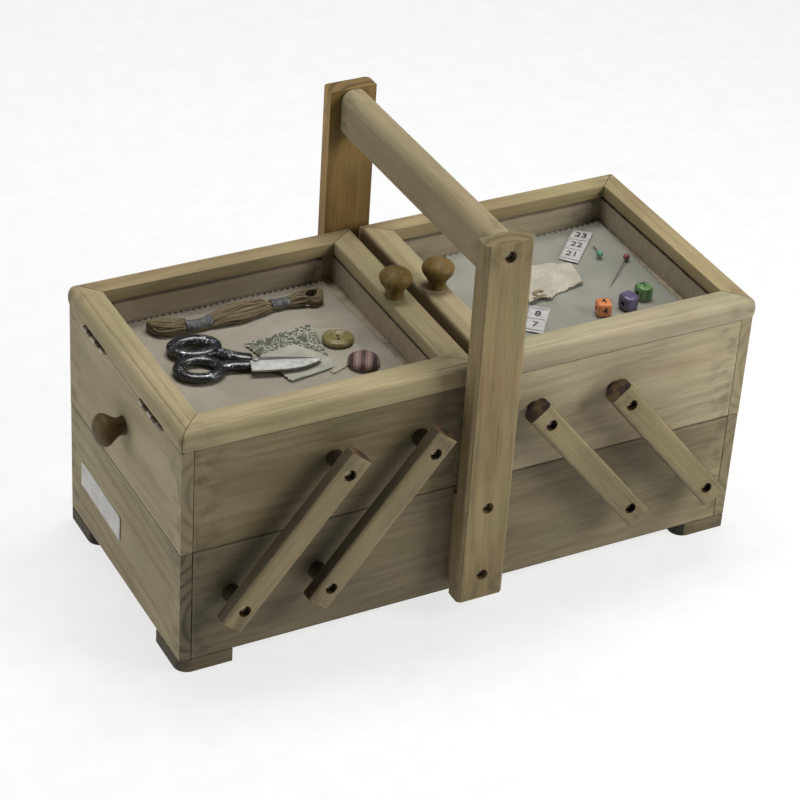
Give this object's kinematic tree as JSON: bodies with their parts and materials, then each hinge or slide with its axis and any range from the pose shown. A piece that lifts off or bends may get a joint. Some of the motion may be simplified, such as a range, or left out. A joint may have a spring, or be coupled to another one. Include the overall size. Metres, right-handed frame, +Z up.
{
  "type": "sewing box with trays",
  "caption": "Wooden box on corner feet with two glazed lidded trays that swing out on wooden arms, and a tall fixed handle over the middle.",
  "frame": {"origin": "on the ground under the centre of the box", "axes": "+X along the box to its right-hand tray, +Y to the back, +Z up; the front faces -Y"},
  "size_m": [0.33, 0.1668, 0.2093],
  "materials": {
    "board_wood": "washed grey-tan softwood boards, matt",
    "frame_wood": "lighter washed wood of the lids, arms and handle, matt",
    "knob_wood": "darker turned wood, waxed",
    "screw_brass": "dull yellow metal",
    "hinge_steel": "plated butt hinge",
    "lid_glass": "clear window glass"
  },
  "bodies": {
    "base": {"base_front_panel": "board_wood", "base_back_panel": "board_wood", "base_left_end": "board_wood", "base_right_end": "board_wood", "base_floor": "board_wood", "foot_front_left": "board_wood", "foot_front_right": "board_wood", "foot_back_left": "board_wood", "foot_back_right": "board_wood", "handle_post_front": "frame_wood", "handle_post_back": "frame_wood", "handle_bar": "frame_wood", "left_base_pivot_front_outer": "screw_brass", "left_base_pivot_front_inner": "screw_brass", "left_base_pivot_back_outer": "screw_brass", "left_base_pivot_back_inner": "screw_brass", "right_base_pivot_front_outer": "screw_brass", "right_base_pivot_front_inner": "screw_brass", "right_base_pivot_back_outer": "screw_brass", "right_base_pivot_back_inner": "screw_brass"},
    "left_arm_front_outer": {"left_arm_front_outer": "frame_wood"},
    "left_arm_front_inner": {"left_arm_front_inner": "frame_wood"},
    "left_arm_back_outer": {"left_arm_back_outer": "frame_wood"},
    "left_arm_back_inner": {"left_arm_back_inner": "frame_wood"},
    "left_tray": {"left_tray_front_panel": "board_wood", "left_tray_back_panel": "board_wood", "left_tray_inner_end": "board_wood", "left_tray_outer_end": "board_wood", "left_tray_floor": "board_wood", "left_tray_knob": "knob_wood", "left_tray_pivot_front_outer": "screw_brass", "left_tray_pivot_front_inner": "screw_brass", "left_hinge_leaf_front": "hinge_steel", "left_tray_pivot_back_outer": "screw_brass", "left_tray_pivot_back_inner": "screw_brass", "left_hinge_leaf_back": "hinge_steel"},
    "left_lid": {"left_lid_frame": "frame_wood", "left_lid_glass": "lid_glass", "left_lid_display_box": "board_wood", "left_lid_knob": "knob_wood"},
    "right_arm_front_outer": {"right_arm_front_outer": "frame_wood"},
    "right_arm_front_inner": {"right_arm_front_inner": "frame_wood"},
    "right_arm_back_outer": {"right_arm_back_outer": "frame_wood"},
    "right_arm_back_inner": {"right_arm_back_inner": "frame_wood"},
    "right_tray": {"right_tray_front_panel": "board_wood", "right_tray_back_panel": "board_wood", "right_tray_inner_end": "board_wood", "right_tray_outer_end": "board_wood", "right_tray_floor": "board_wood", "right_tray_knob": "knob_wood", "right_tray_pivot_front_outer": "screw_brass", "right_tray_pivot_front_inner": "screw_brass", "right_hinge_leaf_front": "hinge_steel", "right_tray_pivot_back_outer": "screw_brass", "right_tray_pivot_back_inner": "screw_brass", "right_hinge_leaf_back": "hinge_steel"},
    "right_lid": {"right_lid_frame": "frame_wood", "right_lid_glass": "lid_glass", "right_lid_display_box": "board_wood", "right_lid_knob": "knob_wood"}
  },
  "joints": [
    {"name": "left_arm_front_outer_swing", "type": "hinge", "parent": "base", "child": "left_arm_front_outer", "pos_m": [-0.1247, -0.0787, 0.0418], "axis": [0, -1, 0], "range_deg": [0, 78.1]},
    {"name": "left_tray_swing", "type": "hinge", "parent": "base", "child": "left_arm_front_inner", "pos_m": [-0.0809, -0.0787, 0.0418], "axis": [0, -1, 0], "range_deg": [0, 78.1]},
    {"name": "left_arm_back_outer_swing", "type": "hinge", "parent": "base", "child": "left_arm_back_outer", "pos_m": [-0.1247, 0.0787, 0.0418], "axis": [0, -1, 0], "range_deg": [0, 78.1]},
    {"name": "left_arm_back_inner_swing", "type": "hinge", "parent": "base", "child": "left_arm_back_inner", "pos_m": [-0.0809, 0.0787, 0.0418], "axis": [0, -1, 0], "range_deg": [0, 78.1]},
    {"name": "left_tray_level", "type": "hinge", "parent": "left_arm_front_inner", "child": "left_tray", "pos_m": [-0.03055, -0.0787, 0.1038], "axis": [0, -1, 0], "range_deg": [-78.1, 0]},
    {"name": "left_lid_hinge", "type": "hinge", "parent": "left_tray", "child": "left_lid", "pos_m": [-0.1509, 0, 0.12575], "axis": [0, -1, 0], "range_deg": [0, 110]},
    {"name": "right_arm_front_outer_swing", "type": "hinge", "parent": "base", "child": "right_arm_front_outer", "pos_m": [0.1247, -0.0787, 0.0418], "axis": [0, 1, 0], "range_deg": [0, 78.1]},
    {"name": "right_tray_swing", "type": "hinge", "parent": "base", "child": "right_arm_front_inner", "pos_m": [0.0809, -0.0787, 0.0418], "axis": [0, 1, 0], "range_deg": [0, 78.1]},
    {"name": "right_arm_back_outer_swing", "type": "hinge", "parent": "base", "child": "right_arm_back_outer", "pos_m": [0.1247, 0.0787, 0.0418], "axis": [0, 1, 0], "range_deg": [0, 78.1]},
    {"name": "right_arm_back_inner_swing", "type": "hinge", "parent": "base", "child": "right_arm_back_inner", "pos_m": [0.0809, 0.0787, 0.0418], "axis": [0, 1, 0], "range_deg": [0, 78.1]},
    {"name": "right_tray_level", "type": "hinge", "parent": "right_arm_front_inner", "child": "right_tray", "pos_m": [0.03055, -0.0787, 0.1038], "axis": [0, 1, 0], "range_deg": [-78.1, 0]},
    {"name": "right_lid_hinge", "type": "hinge", "parent": "right_tray", "child": "right_lid", "pos_m": [0.1509, 0, 0.12575], "axis": [0, 1, 0], "range_deg": [0, 110]}
  ],
  "couplings": [
    {"joint": "left_arm_front_outer_swing", "follows": "left_tray_swing", "ratio": 1},
    {"joint": "left_arm_back_outer_swing", "follows": "left_tray_swing", "ratio": 1},
    {"joint": "left_arm_back_inner_swing", "follows": "left_tray_swing", "ratio": 1},
    {"joint": "left_tray_level", "follows": "left_tray_swing", "ratio": -1},
    {"joint": "right_arm_front_outer_swing", "follows": "right_tray_swing", "ratio": 1},
    {"joint": "right_arm_back_outer_swing", "follows": "right_tray_swing", "ratio": 1},
    {"joint": "right_arm_back_inner_swing", "follows": "right_tray_swing", "ratio": 1},
    {"joint": "right_tray_level", "follows": "right_tray_swing", "ratio": -1}
  ]
}
